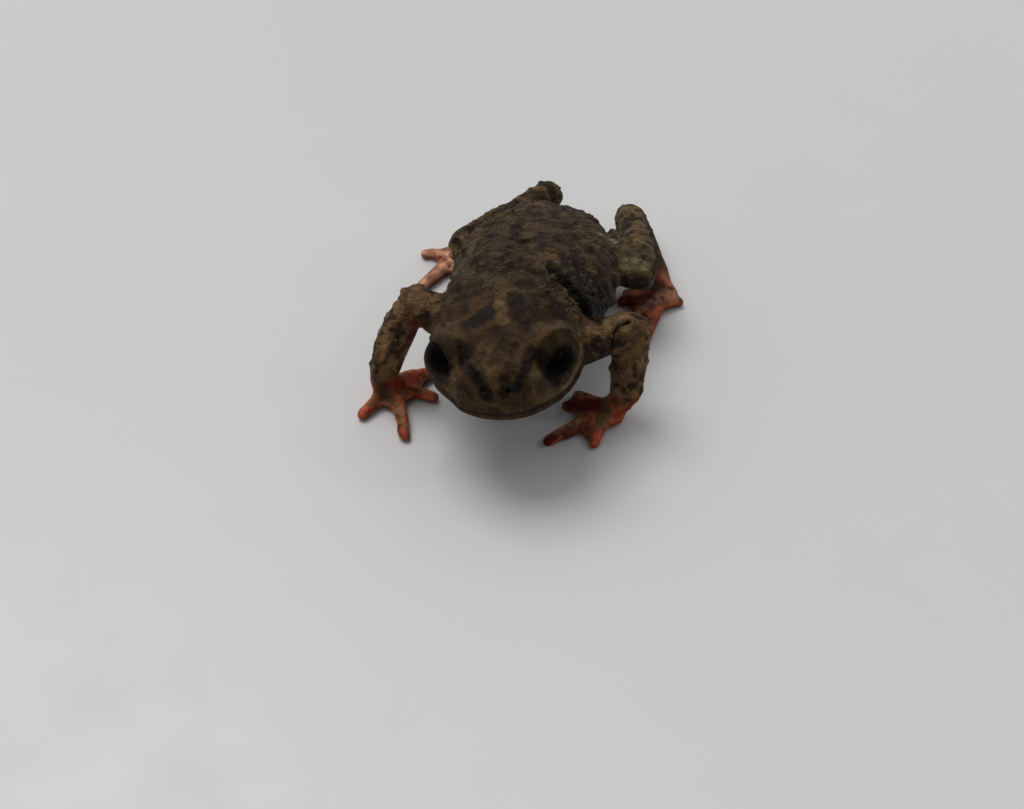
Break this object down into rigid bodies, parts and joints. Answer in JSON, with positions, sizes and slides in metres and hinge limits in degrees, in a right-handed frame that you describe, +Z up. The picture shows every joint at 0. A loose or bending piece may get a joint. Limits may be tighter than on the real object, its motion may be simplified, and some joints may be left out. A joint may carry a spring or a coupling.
{
  "type": "melanophryniscus biancae model",
  "caption": "Still, life-size tiny warty toad with red hands and feet, propped on its arms with hind legs folded, for display.",
  "frame": {"origin": "middle of the footprint's box, on the floor that the hands and feet stand on", "axes": "+Z up out of the back, +Y from the snout towards the rump, +X towards the animal's left"},
  "size_m": [0.0132, 0.018, 0.0072],
  "materials": {
    "back_skin": "moist, warty, dark olive brown",
    "limb_skin": "moist, finely granular, ochre brown",
    "hand_skin": "moist, smooth, orange red with dark specks",
    "eye_gloss": "wet, glossy black"
  },
  "bodies": {
    "root": {"head": "back_skin", "torso": "back_skin", "eye_left": "eye_gloss", "eye_right": "eye_gloss", "upper_arm_left": "limb_skin", "forearm_left": "limb_skin", "hand_left": "hand_skin", "upper_arm_right": "limb_skin", "forearm_right": "limb_skin", "hand_right": "hand_skin", "thigh_left": "limb_skin", "shank_left": "limb_skin", "tarsus_left": "limb_skin", "foot_left": "hand_skin", "thigh_right": "limb_skin", "shank_right": "limb_skin", "tarsus_right": "limb_skin", "foot_right": "hand_skin"}
  },
  "joints": []
}
